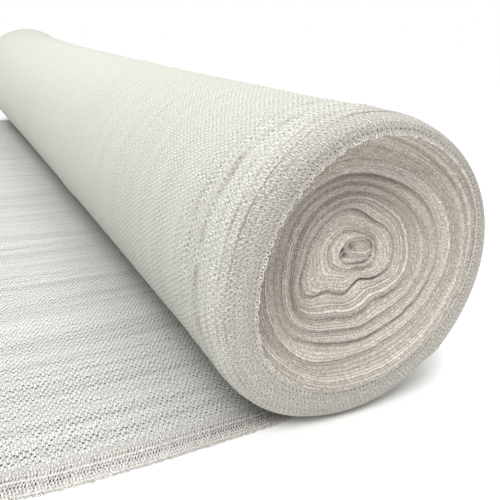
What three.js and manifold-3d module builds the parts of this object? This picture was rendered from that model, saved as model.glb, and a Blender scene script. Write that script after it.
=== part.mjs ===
// A roll of knitted shade cloth, wound on itself with no core tube, with its loose end drawn out flat.
// Millimetres. +Y runs along the roll, whose near end is at -Y. +Z is up. The loose end lies towards -X.
// The origin is on the ground, in the middle of the flat spot that the roll rests on.
import * as THREE from "three";
import Module from "manifold-3d";

// The cloth.
const CLOTH_WIDTH = 1830;
const CLOTH_THICKNESS = 2;
const CLOTH_COLOUR = 0xe6e5df;

// The roll. The soft winding settles a little under its own weight, which makes the flat spot.
const ROLL_RADIUS = 137;
const ROLL_SETTLING = 3;
const ANGLE_STEPS = 60;
const TURN = 2 * Math.PI;

// The loose end, from its plain cut to the line where it becomes the roll's outermost turn.
const LOOSE_CUT_X = -450;
const TAKE_UP_X = -20;
const LOOSE_STEPS_X = 11;
const LOOSE_STEPS_Y = 46;
const PIECE_GAP = 0.3;

// Girth of the roll along its length: distance from the middle, and radius as a share of ROLL_RADIUS.
// The far end is wound fuller than the near end.
const GIRTH = [
  { y: -880, share: 1.0 },
  { y: -860, share: 1.008 },
  { y: -835, share: 0.998 },
  { y: -812, share: 1.003 },
  { y: -740, share: 0.998 },
  { y: -520, share: 0.996 },
  { y: -260, share: 0.998 },
  { y: 0, share: 1.004 },
  { y: 260, share: 1.012 },
  { y: 480, share: 1.024 },
  { y: 680, share: 1.042 },
  { y: 800, share: 1.058 },
  { y: 850, share: 1.072 },
  { y: 885, share: 1.086 },
];

// The winding is not quite round. lobes: swellings in one turn. size: a share of the radius.
// wander: how far round a lobe moves for each millimetre along the roll. from: where the first one starts.
const LOBES = [
  { lobes: 3, size: 0.004, wander: 0.0053, from: 0 },
  { lobes: 5, size: 0.003, wander: -0.0077, from: 1 },
];

// The ends of the roll. The outermost turn curls in over the shoulder and stops at its selvedge, the lip.
// Inside the lip the turns lie back in a shallow dish, grouped into main turns that stand out as ridges.
// start: where the shoulder begins to curl, from the middle of the roll. reach: how far on the lip stands.
// girth: the shoulder's radius as a share of ROLL_RADIUS. squeeze: how much of FOLDS shows.
// phase: where in a turn the winding starts.
const NEAR_END = { side: -1, start: 909, reach: 27, girth: 1.0, squeeze: 1, phase: 0.3 };
const FAR_END = { side: 1, start: 904, reach: 26, girth: 1.09, squeeze: 0.35, phase: 0.75 };
const SHOULDER_ANGLES = [0, 18, 38, 60, 82];

// The main turns: how many, the points across one, the height of their crests and the depth of their creases.
const MAIN_TURNS = 9;
const POINTS_PER_TURN = 3;
const CREST_HEIGHT = 1.6;
const CREASE_DEPTH = 2.6;
// The ridges run out flat next to the lip, down to this share.
const RIDGE_LEFT_AT_RIM = 0.3;
// Neighbouring points stay this share of a step clear of the dish's inner and outer rings.
const RING_CLEARANCE = 0.3;

// Rings of the winding at the near end, from the heart out to the lip. share: the place of the ring, 1 at
// the lip. x, z: its middle, from the axis. halfWidth, halfHeight: its size. depth: how far behind the lip.
const RINGS = [
  { share: 0.1, x: -1, z: 18, halfWidth: 11, halfHeight: 11, depth: 22 },
  { share: 0.19, x: -1, z: 18, halfWidth: 21, halfHeight: 21, depth: 26 },
  { share: 0.4, x: 1, z: 13, halfWidth: 46, halfHeight: 39, depth: 28 },
  { share: 0.54, x: 5, z: 9, halfWidth: 60, halfHeight: 56, depth: 30 },
  { share: 0.76, x: 8, z: 7, halfWidth: 84, halfHeight: 78, depth: 27 },
  { share: 0.97, x: 3, z: 11, halfWidth: 102, halfHeight: 105, depth: 17 },
  { share: 1.0, x: 0, z: 13, halfWidth: 104, halfHeight: 110, depth: 0 },
];
const HEART_HOLLOW_DEPTH = 32;

// The turns round the heart are squeezed out of round. at: direction in degrees, 0 to the right and -90 down.
// span: half the width of the fold in degrees. push: how far it stands out, at the share where it is fullest.
const FOLDS = [
  { at: -138, span: 40, push: 14 },
  { at: -106, span: 22, push: -8 },
  { at: -66, span: 28, push: -13 },
  { at: -28, span: 30, push: 5 },
];
const FOLDS_FULLEST = 0.4;
const FOLDS_END = 0.9;

// Soft ripples of the loose end. y: place at the cut. half: half its width. from, to: its two ends.
const RIPPLES = [
  { y: -850, half: 24, height: 1.6, from: -450, to: -60 },
  { y: -760, half: 34, height: 2.2, from: -400, to: -110 },
  { y: -640, half: 40, height: 2.6, from: -450, to: -80 },
  { y: -500, half: 44, height: 2.2, from: -380, to: -60 },
  { y: -350, half: 46, height: 3.0, from: -450, to: -90 },
  { y: -160, half: 50, height: 2.6, from: -420, to: -70 },
  { y: 60, half: 52, height: 3.2, from: -450, to: -100 },
  { y: 290, half: 50, height: 2.4, from: -400, to: -60 },
  { y: 500, half: 48, height: 3.0, from: -450, to: -90 },
  { y: 720, half: 44, height: 2.2, from: -430, to: -80 },
];
const RIPPLE_SLANT = 0.06;

// The near selvedge of the loose end bows a few millimetres: places along it, and how far in it lies there.
const SELVEDGE_BOW = [
  { x: -450, inset: 3 },
  { x: -360, inset: 6 },
  { x: -288, inset: 5 },
  { x: -254, inset: 1 },
  { x: -180, inset: 0 },
  { x: -92, inset: 3 },
  { x: -20, inset: 8 },
];

const wasm = await Module();
wasm.setup();

// Value of a table's column at a place along another column, in straight lines between rows.
function between(rows, place, value, at) {
  if (at <= rows[0][place]) return rows[0][value];
  for (let i = 1; i < rows.length; i++) {
    const a = rows[i - 1];
    const b = rows[i];
    if (at <= b[place]) return THREE.MathUtils.mapLinear(at, a[place], b[place], a[value], b[value]);
  }
  return rows.at(-1)[value];
}

// A soft hump: 1 in the middle, 0 at one half width away and beyond.
function hump(off) {
  return Math.abs(off) < 1 ? Math.cos((off * Math.PI) / 2) ** 2 : 0;
}

// Point of the outside of the roll at an angle and a radius. The settled roll is flat on the ground.
function bodyPoint(angle, radius, axisZ, y) {
  return new THREE.Vector3(radius * Math.cos(angle), y, Math.max(axisZ + radius * Math.sin(angle), 0));
}

function outOfRound(angle, y) {
  const swell = (l) => l.size * Math.sin(l.lobes * angle + l.wander * y + l.from);
  return LOBES.reduce((sum, l) => sum + swell(l), 1);
}

// How far the squeezed turns stand out from their ring, at a direction and a share of the lip.
function fold(angle, share) {
  const rise = share / FOLDS_FULLEST;
  const fall = (FOLDS_END - share) / (FOLDS_END - FOLDS_FULLEST);
  const strength = Math.max(0, Math.min(rise, fall));
  const direction = THREE.MathUtils.radToDeg(angle);
  const away = (at) => THREE.MathUtils.euclideanModulo(direction - at + 180, 360) - 180;
  return FOLDS.reduce((sum, f) => sum + f.push * strength * hump(away(f.at) / f.span), 0);
}

// A point of one ring of an end's winding, at a share of the lip. raised: how far it stands out of the dish.
function ringPoint(end, angle, share, raised) {
  const column = (name) => between(RINGS, "share", name, share);
  const push = end.squeeze * fold(angle, share);
  const x = column("x") + (column("halfWidth") + push) * Math.cos(angle);
  const z = column("z") + (column("halfHeight") + push) * Math.sin(angle);
  const axisZ = ROLL_RADIUS * end.girth - ROLL_SETTLING;
  const y = end.side * (end.start + end.reach - column("depth") + raised);
  return new THREE.Vector3(x * end.girth, y, axisZ + z * end.girth);
}

// Points of the main turns at one angle. Their creases and crests step inwards by one turn each time round.
function mainTurns(end, angle) {
  const first = RINGS[1].share;
  const last = RINGS.at(-2).share;
  const turn = (last - first) / MAIN_TURNS;
  const step = turn / POINTS_PER_TURN;
  const clear = step * RING_CLEARANCE;
  const drift = (angle / TURN + end.phase) * turn;
  const rows = [];
  for (let k = 0; k <= (MAIN_TURNS + 2) * POINTS_PER_TURN; k++) {
    const share = first + k * step - drift;
    if (share <= first + clear || share >= last - clear) continue;
    const fade = Math.min(1, (last - share) / turn + RIDGE_LEFT_AT_RIM);
    const raised = k % POINTS_PER_TURN === 0 ? -CREASE_DEPTH : CREST_HEIGHT;
    rows.push({ key: share, point: ringPoint(end, angle, share, raised * fade) });
  }
  return rows;
}

// Points of the shoulder at one angle: a quarter curl from the lip's edge back to the body.
function shoulder(end, angle) {
  const lip = ringPoint(end, angle, 1, 0);
  const radius = ROLL_RADIUS * end.girth;
  const start = bodyPoint(angle, radius, radius - ROLL_SETTLING, end.side * end.start);
  const lastCurl = THREE.MathUtils.degToRad(SHOULDER_ANGLES.at(-1));
  const curls = SHOULDER_ANGLES.map(THREE.MathUtils.degToRad).reverse();
  return curls.map((curl) => {
    const outwards = (Math.cos(curl) - Math.cos(lastCurl)) / (1 - Math.cos(lastCurl));
    const point = lip.clone().lerp(start, outwards);
    point.y = end.side * (end.start + (end.reach * Math.sin(curl)) / Math.sin(lastCurl));
    return { key: 1 + outwards, point };
  });
}

// One end at one angle, from the hollow of its heart out to where the shoulder starts. Keys run from 0 to 2.
function endRows(end, angle) {
  const hollow = ringPoint(end, 0, 0, 0);
  hollow.x = RINGS[0].x * end.girth;
  hollow.y = end.side * (end.start + end.reach - HEART_HOLLOW_DEPTH);
  const ring = ({ share }) => ({ key: share, point: ringPoint(end, angle, share, 0) });
  const heart = [RINGS[0], RINGS[1]].map(ring);
  const rim = ring(RINGS.at(-2));
  return [{ key: 0, point: hollow }, ...heart, ...mainTurns(end, angle), rim, ...shoulder(end, angle)];
}

// The body at one angle, from the near end to the far end. Keys run from 3 to 4.
function bodyRows(angle) {
  return GIRTH.map(({ y, share }) => {
    const radius = ROLL_RADIUS * share;
    const point = bodyPoint(angle, radius * outOfRound(angle, y), radius - ROLL_SETTLING, y);
    return { key: 3 + (y - GIRTH[0].y) / CLOTH_WIDTH, point };
  });
}

// One line of points over the whole roll at one angle. The far end's keys run backwards, from 7 to 5.
function rollLine(angle) {
  const far = endRows(FAR_END, angle).map(({ key, point }) => ({ key: 7 - key, point }));
  return [...endRows(NEAR_END, angle), ...bodyRows(angle), ...far.reverse()];
}

// Triangles between two neighbouring lines, walking along both at once by their keys.
function stitch(lineA, lineB, firstA, firstB, triangles) {
  const keyAt = (line, i) => (i < line.length ? line[i].key : Infinity);
  let a = 0;
  let b = 0;
  while (a < lineA.length - 1 || b < lineB.length - 1) {
    if (keyAt(lineA, a + 1) <= keyAt(lineB, b + 1)) {
      triangles.push(firstA + a, firstA + a + 1, firstB + b);
      a += 1;
    } else {
      triangles.push(firstA + a, firstB + b + 1, firstB + b);
      b += 1;
    }
  }
}

// A closed solid from points and triangles. Points that coincide, such as the ends' hollows, become one.
function solidFrom(points, triangles) {
  const seen = new Map();
  const positions = [];
  const index = points.map((p) => {
    const place = p.toArray().map((v) => v.toFixed(4)).join(" ");
    if (!seen.has(place)) {
      seen.set(place, positions.length / 3);
      positions.push(...p.toArray());
    }
    return seen.get(place);
  });
  const kept = [];
  for (let i = 0; i < triangles.length; i += 3) {
    const [a, b, c] = triangles.slice(i, i + 3).map((v) => index[v]);
    if (a !== b && b !== c && c !== a) kept.push(a, b, c);
  }
  const mesh = new wasm.Mesh({
    numProp: 3,
    vertProperties: new Float32Array(positions),
    triVerts: new Uint32Array(kept),
  });
  return new wasm.Manifold(mesh);
}

function geometryFrom(solid) {
  const mesh = solid.getMesh();
  const geometry = new THREE.BufferGeometry();
  geometry.setAttribute("position", new THREE.BufferAttribute(mesh.vertProperties, 3));
  geometry.setIndex(new THREE.BufferAttribute(mesh.triVerts, 1));
  geometry.computeVertexNormals();
  return geometry;
}

function woundRoll() {
  const lines = Array.from({ length: ANGLE_STEPS }, (_, j) => rollLine((j * TURN) / ANGLE_STEPS));
  const firsts = [];
  const points = [];
  for (const line of lines) {
    firsts.push(points.length);
    points.push(...line.map((row) => row.point));
  }
  const triangles = [];
  for (let j = 0; j < ANGLE_STEPS; j++) {
    const next = (j + 1) % ANGLE_STEPS;
    stitch(lines[j], lines[next], firsts[j], firsts[next], triangles);
  }
  return solidFrom(points, triangles);
}

// Height of the loose end's underside above the ground. It lies flat wherever no ripple lifts it.
function rippleHeight(x, y) {
  const heights = RIPPLES.map((r) => {
    const along = (2 * x - r.from - r.to) / (r.to - r.from);
    const across = (y - r.y - RIPPLE_SLANT * (x - LOOSE_CUT_X)) / r.half;
    return r.height * hump(across) * hump(along);
  });
  return Math.max(...heights);
}

// The loose end: a sheet of even thickness on its ripples, from the cut to the take-up line.
// margin grows it all round, which is how the roll is cut clear of it.
function looseEnd(margin) {
  const points = [];
  for (const top of [0, 1]) {
    for (let i = 0; i <= LOOSE_STEPS_X; i++) {
      const x = THREE.MathUtils.lerp(LOOSE_CUT_X - margin, TAKE_UP_X + margin, i / LOOSE_STEPS_X);
      const near = -CLOTH_WIDTH / 2 + between(SELVEDGE_BOW, "x", "inset", x) - margin;
      for (let j = 0; j <= LOOSE_STEPS_Y; j++) {
        const y = THREE.MathUtils.lerp(near, CLOTH_WIDTH / 2 + margin, j / LOOSE_STEPS_Y);
        const under = rippleHeight(x, y);
        points.push(new THREE.Vector3(x, y, top ? under + CLOTH_THICKNESS + margin : under - margin));
      }
    }
  }
  const row = LOOSE_STEPS_Y + 1;
  const at = (top, i, j) => (top * (LOOSE_STEPS_X + 1) + i) * row + j;
  const triangles = [];
  const quad = (a, b, c, d) => triangles.push(a, b, c, a, c, d);
  const [lastI, lastJ] = [LOOSE_STEPS_X, LOOSE_STEPS_Y];
  for (let i = 0; i < lastI; i++) {
    for (let j = 0; j < lastJ; j++) {
      quad(at(1, i, j), at(1, i + 1, j), at(1, i + 1, j + 1), at(1, i, j + 1));
      quad(at(0, i, j), at(0, i, j + 1), at(0, i + 1, j + 1), at(0, i + 1, j));
    }
    quad(at(0, i, 0), at(0, i + 1, 0), at(1, i + 1, 0), at(1, i, 0));
    quad(at(0, i + 1, lastJ), at(0, i, lastJ), at(1, i, lastJ), at(1, i + 1, lastJ));
  }
  for (let j = 0; j < lastJ; j++) {
    quad(at(0, 0, j + 1), at(0, 0, j), at(1, 0, j), at(1, 0, j + 1));
    quad(at(0, lastI, j), at(0, lastI, j + 1), at(1, lastI, j + 1), at(1, lastI, j));
  }
  return solidFrom(points, triangles);
}

function named(name, solid) {
  const material = new THREE.MeshStandardMaterial({ color: CLOTH_COLOUR, roughness: 0.8, metalness: 0 });
  const mesh = new THREE.Mesh(geometryFrom(solid), material);
  mesh.name = name;
  return mesh;
}

const shadeCloth = new THREE.Group();
shadeCloth.add(named("wound_roll", woundRoll().subtract(looseEnd(PIECE_GAP))));
shadeCloth.add(named("loose_end", looseEnd(0)));

export default shadeCloth;
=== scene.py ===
import math

import bpy
import numpy as np
from mathutils import Euler, Matrix, Vector


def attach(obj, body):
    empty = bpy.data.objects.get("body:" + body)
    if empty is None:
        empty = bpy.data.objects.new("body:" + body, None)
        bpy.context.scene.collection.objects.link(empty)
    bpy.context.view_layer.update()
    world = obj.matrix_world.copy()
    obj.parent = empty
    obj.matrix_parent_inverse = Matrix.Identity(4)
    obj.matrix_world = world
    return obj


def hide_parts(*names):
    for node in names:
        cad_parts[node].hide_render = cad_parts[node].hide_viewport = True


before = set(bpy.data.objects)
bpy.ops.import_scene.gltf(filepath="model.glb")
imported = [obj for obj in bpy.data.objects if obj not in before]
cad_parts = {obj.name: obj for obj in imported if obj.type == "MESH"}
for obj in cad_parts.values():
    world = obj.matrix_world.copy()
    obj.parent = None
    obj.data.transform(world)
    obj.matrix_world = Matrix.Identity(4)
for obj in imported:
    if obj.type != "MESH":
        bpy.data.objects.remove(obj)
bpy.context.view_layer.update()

# Camera
# It stands low in front of the near end and looks along the roll, a little down and to the right. Its place
# is in metres, its turns in degrees and its lens in millimetres.
CAMERA_PLACE = (-0.3010, -1.2933, 0.3293)
CAMERA_YAW = 27.75
CAMERA_PITCH = 20.32
CAMERA_TILT = 2.25
CAMERA_LENS = 43.4
camera = bpy.data.objects.new("camera", bpy.data.cameras.new("camera"))
bpy.context.collection.objects.link(camera)
camera.data.lens = CAMERA_LENS
camera.data.sensor_width = 36.0
camera.data.clip_start = 0.01
aim = Euler((math.radians(90 - CAMERA_PITCH), 0, -math.radians(CAMERA_YAW))).to_matrix()
aim = aim @ Matrix.Rotation(math.radians(CAMERA_TILT), 3, "Z")
camera.matrix_world = Matrix.Translation(CAMERA_PLACE) @ aim.to_4x4()
bpy.context.scene.camera = camera

# Loose end
# White knitted shade cloth, warp-knitted from polyethylene yarn with a selvedge along each side. It is
# drawn off the roll to the left and lies on the ground in soft ripples, up to the line where the roll
# takes it up. All sizes of the cloth are in millimetres.
MM = 0.001
CLOTH_WIDTH = 1830.0
ROLL_RADIUS = 137.0
ROLL_SETTLING = 3.0
LOOSE_CUT_X = -450.0
TAKEN_UP_X = 28.0
LIES_AT = 1.2

# Ripples: place at the cut, half width, height, and where along the cloth each begins and ends.
RIPPLES = (
    (-850, 24, 1.6, -450, -60),
    (-760, 34, 2.2, -400, -110),
    (-640, 40, 2.6, -450, -80),
    (-500, 44, 2.2, -380, -60),
    (-350, 46, 3.0, -450, -90),
    (-160, 50, 2.6, -420, -70),
    (60, 52, 3.2, -450, -100),
    (290, 50, 2.4, -400, -60),
    (500, 48, 3.0, -450, -90),
    (720, 44, 2.2, -430, -80),
)
RIPPLE_SLANT = 0.06
# Small waves between the ripples, stretched along the cloth. They die out towards the roll.
SMALL_WAVES = {"seed": 5, "count": 14, "longest": 60, "shortest": 16}
WAVE_HEIGHT = 0.5
WAVE_STRETCH = 9
WAVES_END_X = -20
WAVES_FADE_OVER = 80
# Bow of the near selvedge: places along it, and how far in it lies there.
BOW_PLACES = (-450, -360, -288, -254, -180, -92, -20)
BOW_INSETS = (3, 6, 5, 1, 0, 3, 8)
# Points along the loose end, then along its part under the roll, and points across it.
LOOSE_ROWS = (LOOSE_CUT_X, -30, 84)
TAKE_UP_ROWS = (-24, TAKEN_UP_X, 8)
LOOSE_COLUMNS = 360

# The knit has courses along the cloth and wales across it. Two threads lie in each course.
COURSE = 5.07
WALE = 4.15
# Across a thread, in thread spacings: how far it leans over one stitch, and from where to where it rises.
THREAD_LEAN = 0.18
THREAD_RISE = (0.30, 0.06)
# Along a thread, in stitches: how far its dives stray, and from where to where it comes up after a dive.
DIVE_STRAY = 0.2
DIVE_RISE = (0.05, 0.22)
# How much more light some stitches catch than others, and what the least lit ones catch.
STITCH_LIGHT = (0.80, 0.25)
# Half a gap, in thread spacings and in stitches, how much larger some gaps are and how soft their edge is.
GAP_HALF_WIDTH = 0.21
GAP_HALF_LENGTH = 0.10
GAP_SIZES = (0.5, 0.75)
GAP_EDGE = (-0.25, 0.25)
GAP_LEAST_SHADE = 0.2
# Streaks along the cloth, per metre along it and across it, and where in them the knit opens.
STREAKS = (2.2, 75.0, 1.0)
STREAK_OPENS = (0.40, 0.68)
STREAK_GAP_SIZE = 0.35
STREAK_GAP_SHADE = 0.45
STREAK_TONE = 0.7
# Patches of unevenness per metre: where the cloth is pulled, where its selvedge wanders and waves, where
# creases fade, and where loose fibres lie.
PULLS = 190.0
WANDERS = 22.0
EDGE_WAVES = 330.0
FADES = 32.0
FIBRES = 780.0
# How far the selvedge's creases wander and its rows wave to each side, and how its gaps lean.
EDGE_WANDER = 5.0
EDGE_WAVE = 1.6
EDGE_LEAN = 0.28
# The plain knit begins past the selvedge's last row, over this width. Its gaps lose this much of their
# shade where the edge's own colours are full.
KNIT_BEGINS_OVER = 5.0
EDGE_GAPS_LOSE = 0.55
# A gap of the selvedge: from where to where its painted shade darkens, in its own half sizes, and how dark
# that shade is by chance and always.
EDGE_GAP_RISE = (1.25, 0.7)
EDGE_GAP_SHADES = (0.8, 0.5)
# A line of doubled yarn: from where to where it rises, and how much light it catches.
DOUBLED_RISE = (1.2, 0.2)
DOUBLED_LIGHT = 0.45
# Contrast and level of the fibres' tone, and what a lit thread adds to it.
FIBRE_TONE = (3.2, -1.19)
THREAD_TONE = 0.72
# Where a crease, with its painted shade, is faint and where it is full, how faint it gets, and how deep it
# is beside the yarn.
CREASE_FADES = (0.38, 0.62)
CREASE_FAINT = 0.15
CREASE_DEPTH = 1.4

# The cloth as it lies on the ground: the painted colours of its yarn in shade and in light, the painted
# shade in its gaps, its colours at the edge, the painted shade of its creases, how far the knit is pulled,
# how dark its gaps and how strong its streaks are, and how high its yarn stands.
LAID = {
    "ground": "#828380",
    "thread": "#e4e4e1",
    "gap_shade_colour": "#2f2e2c",
    "edge_ground": "#858279",
    "edge_thread": "#e3e0dd",
    "crease_shade": "#96918d",
    "unevenness": 1.8,
    "gap_shade": 1.0,
    "streaks": 0.95,
    "relief": 0.13,
    # Rows of gaps along the selvedge: place from the edge, half height, half width, spacing, shift in
    # spacings, and how dark their painted shade is.
    "edge_gaps": (
        (4.5, 0.9, 0.6, 2.535, 0.2, 0.50),
        (7.8, 1.1, 0.55, 2.535, 0.5, 0.75),
        (11.4, 1.7, 0.6, 2.535, 0.0, 0.95),
        (15.2, 1.6, 0.5, 2.535, 0.6, 0.8),
        (21.0, 2.3, 0.55, 2.535, 0.2, 0.7),
        (26.2, 1.6, 0.5, 2.535, 0.7, 0.4),
        (31.0, 2.4, 0.45, 2.535, 0.4, 0.25),
    ),
    # Lines of doubled yarn along the selvedge, by place from the edge.
    "edge_lines": (1.6, 17.8),
    # Creases along the selvedge: place from the edge, half width and how dark their painted shade is.
    "edge_creases": ((31.0, 5.0, 0.30),),
    # How far from the edge its own colours begin, and where they are full.
    "edge_colours": (34.0, 27.0),
}


def hump(off):
    """1 in the middle, 0 at one half width away and beyond."""
    return np.where(np.abs(off) < 1, np.cos(np.clip(off, -1, 1) * math.pi / 2) ** 2, 0.0)


def waves(places, seed, count, longest, shortest):
    """Soft unevenness from -1 to 1 along one or more directions, the same in each run."""
    rng = np.random.default_rng(seed)
    total = 0.0
    for _ in range(count):
        length = longest * (shortest / longest) ** rng.random()
        heading = rng.normal(size=len(places))
        along = sum(h * p for h, p in zip(heading, places)) / np.linalg.norm(heading)
        total = total + np.sin(2 * math.pi * along / length + rng.uniform(0, 2 * math.pi))
    return total / math.sqrt(2 * count)


def sheet_mesh(name, points, flat_points):
    """A mesh from a grid of points. flat_points give each point's place on the flat cloth."""
    rows, columns = points.shape[:2]
    mesh = bpy.data.meshes.new(name)
    index = np.arange(rows * columns).reshape(rows, columns)
    a, b = index[:-1, :-1], index[1:, :-1]
    c, d = index[1:, 1:], index[:-1, 1:]
    faces = np.stack([a, b, c, d], axis=-1).reshape(-1, 4)
    mesh.from_pydata((points.reshape(-1, 3) * MM).tolist(), [], faces.tolist())
    uv = mesh.uv_layers.new(name="cloth")
    uv.data.foreach_set("uv", (flat_points.reshape(-1, 2)[faces.ravel()] * MM).ravel())
    mesh.shade_smooth()
    piece = bpy.data.objects.new(name, mesh)
    bpy.context.collection.objects.link(piece)
    return piece


def linear(colour):
    """An sRGB hex colour as the linear values that a shader takes."""
    channels = [int(colour[i : i + 2], 16) / 255 for i in (1, 3, 5)]
    return (*(c / 12.92 if c <= 0.04045 else ((c + 0.055) / 1.055) ** 2.4 for c in channels), 1.0)


def add_node(tree, kind, *inputs, named=None, **settings):
    """Adds a node with its settings. Its inputs, in order or by name, take a value, a node or a socket."""
    node = tree.nodes.new(kind)
    for setting, value in settings.items():
        setattr(node, setting, value)
    for place, value in [*enumerate(inputs), *(named or {}).items()]:
        if isinstance(value, bpy.types.Node):
            tree.links.new(value.outputs[0], node.inputs[place])
        elif isinstance(value, bpy.types.NodeSocket):
            tree.links.new(value, node.inputs[place])
        elif value is not None:
            node.inputs[place].default_value = value
    return node


# Shader nodes that the finishes use often, the setting for a soft step, and the sockets of a mix of two
# colours.
MATHS = "ShaderNodeMath"
VECTOR_MATHS = "ShaderNodeVectorMath"
MAP = "ShaderNodeMapRange"
NOISE = "ShaderNodeTexNoise"
CHANCE = "ShaderNodeTexWhiteNoise"
MIX = "ShaderNodeMix"
TOGETHER = "ShaderNodeCombineXYZ"
SOFTLY = {"interpolation_type": "SMOOTHSTEP"}
FIRST_COLOUR, SECOND_COLOUR, MIXED_COLOUR = 6, 7, 2


def pulled_cloth(tree, patches, along, across):
    """The place on the flat cloth, and the same pulled out of line by soft unevenness, in metres."""
    flat = add_node(tree, "ShaderNodeUVMap", uv_map="cloth")
    pull = add_node(tree, NOISE, named={"Vector": flat, "Scale": patches, "Detail": 3.0}).outputs["Color"]
    most = (along * MM, across * MM, 0)
    return flat, add_node(tree, VECTOR_MATHS, pull, most, flat, operation="MULTIPLY_ADD")


def threads_and_gaps(tree, place, open_here, knit):
    """How much painted light the threads of the plain knit get at each point, and how much painted shade
    its gaps get.
    """
    # Threads stand half a course apart. Each dives once in every two wales, halfway between the dives
    # of its neighbours.
    threads = add_node(tree, MATHS, place.outputs[0], 2 / (COURSE * MM), operation="MULTIPLY")
    thread_number = add_node(tree, MATHS, threads, operation="ROUND")
    aside = add_node(tree, MATHS, threads, thread_number, operation="SUBTRACT")
    wales = add_node(tree, MATHS, place.outputs[1], 1 / (2 * WALE * MM), operation="MULTIPLY")
    thread_chance = add_node(tree, CHANCE, named={"W": thread_number}, noise_dimensions="1D")
    stray = DIVE_STRAY * knit["unevenness"]
    stitches = add_node(tree, MATHS, thread_chance, stray, wales, operation="MULTIPLY_ADD")
    stitches = add_node(tree, MATHS, thread_number, 0.5, stitches, operation="MULTIPLY_ADD")
    along = add_node(tree, MATHS, stitches, operation="FRACT")
    from_dive = add_node(tree, MATHS, stitches, 0.5, operation="PINGPONG")

    # Each stitch leans the same way, and some catch more light than others.
    stitch_number = add_node(tree, MATHS, stitches, operation="FLOOR")
    stitch = add_node(tree, TOGETHER, thread_number, stitch_number)
    stitch_chance = add_node(tree, CHANCE, stitch, noise_dimensions="2D")
    leaning = add_node(tree, MATHS, along, -THREAD_LEAN, aside, operation="MULTIPLY_ADD")
    leaning = add_node(tree, MATHS, leaning, THREAD_LEAN / 2)
    off_thread = add_node(tree, MATHS, leaning, operation="ABSOLUTE")
    on_thread = add_node(tree, MAP, off_thread, *THREAD_RISE, **SOFTLY)
    off_dive = add_node(tree, MAP, from_dive, *DIVE_RISE, **SOFTLY)
    raised = add_node(tree, MATHS, on_thread, off_dive, operation="MULTIPLY")
    lit = add_node(tree, MATHS, stitch_chance, *STITCH_LIGHT, operation="MULTIPLY_ADD")
    lit = add_node(tree, MATHS, raised, lit, operation="MULTIPLY")

    # A gap lies at each dive, with its own size and painted shade.
    dive_number = add_node(tree, MATHS, stitches, operation="ROUND")
    dive = add_node(tree, TOGETHER, thread_number, dive_number)
    gap_chance = add_node(tree, CHANCE, dive, noise_dimensions="2D")
    gap_wide = add_node(tree, MATHS, aside, 1 / GAP_HALF_WIDTH, operation="MULTIPLY")
    gap_long = add_node(tree, MATHS, from_dive, 1 / GAP_HALF_LENGTH, operation="MULTIPLY")
    gap_place = add_node(tree, TOGETHER, gap_wide, gap_long)
    from_gap = add_node(tree, VECTOR_MATHS, gap_place, operation="LENGTH").outputs["Value"]
    size = add_node(tree, MATHS, gap_chance, *GAP_SIZES, operation="MULTIPLY_ADD")
    wider = STREAK_GAP_SIZE * knit["streaks"]
    size = add_node(tree, MATHS, open_here, wider, size, operation="MULTIPLY_ADD")
    within = add_node(tree, MATHS, size, from_gap, operation="SUBTRACT")
    in_gap = add_node(tree, MAP, within, *GAP_EDGE, **SOFTLY)
    shades = (knit["gap_shade"], GAP_LEAST_SHADE * knit["gap_shade"])
    shade = add_node(tree, MATHS, gap_chance, *shades, operation="MULTIPLY_ADD")
    darker = STREAK_GAP_SHADE * knit["streaks"]
    shade = add_node(tree, MATHS, open_here, darker, shade, operation="MULTIPLY_ADD")
    shade = add_node(tree, MATHS, in_gap, shade, operation="MULTIPLY")
    return lit, shade


def selvedge_rows(tree, place, from_edge, waved_edge, lit, shade, knit):
    """The knit's painted light and shade with the selvedge's own rows of gaps and lines of doubled yarn
    added.
    """
    by_chance, always = EDGE_GAP_SHADES
    leaned = add_node(tree, MATHS, from_edge, -EDGE_LEAN, place.outputs[0], operation="MULTIPLY_ADD")
    for row, half_height, half_width, spacing, shift, darkness in knit["edge_gaps"]:
        up = add_node(tree, MATHS, waved_edge, (row + EDGE_WAVE) * MM, operation="SUBTRACT")
        up = add_node(tree, MATHS, up, 1 / (half_height * MM), operation="MULTIPLY")
        along = add_node(tree, MATHS, leaned, 1 / (spacing * MM), shift, operation="MULTIPLY_ADD")
        number = add_node(tree, MATHS, along, operation="ROUND")
        chance = add_node(tree, CHANCE, named={"W": number}, noise_dimensions="1D")
        along = add_node(tree, MATHS, along, 0.5, operation="PINGPONG")
        along = add_node(tree, MATHS, along, spacing / half_width, operation="MULTIPLY")
        gap_place = add_node(tree, TOGETHER, up, along)
        off = add_node(tree, VECTOR_MATHS, gap_place, operation="LENGTH").outputs["Value"]
        dark = add_node(tree, MAP, off, *EDGE_GAP_RISE, **SOFTLY)
        depths = (by_chance * darkness * knit["gap_shade"], always * darkness)
        depth = add_node(tree, MATHS, chance, *depths, operation="MULTIPLY_ADD")
        dark = add_node(tree, MATHS, dark, depth, operation="MULTIPLY")
        shade = add_node(tree, MATHS, shade, dark, operation="MAXIMUM")
    shade = add_node(tree, MATHS, shade, 1.0, operation="MINIMUM")
    outside, inside = (reach * MM for reach in DOUBLED_RISE)
    for line in knit["edge_lines"]:
        off = add_node(tree, MATHS, waved_edge, (line + EDGE_WAVE) * MM, operation="SUBTRACT")
        off = add_node(tree, MATHS, off, operation="ABSOLUTE")
        doubled = add_node(tree, MAP, off, outside, inside, **SOFTLY)
        doubled = add_node(tree, MATHS, doubled, DOUBLED_LIGHT, operation="MULTIPLY")
        lit = add_node(tree, MATHS, lit, doubled, operation="MAXIMUM")
    return lit, shade


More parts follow.
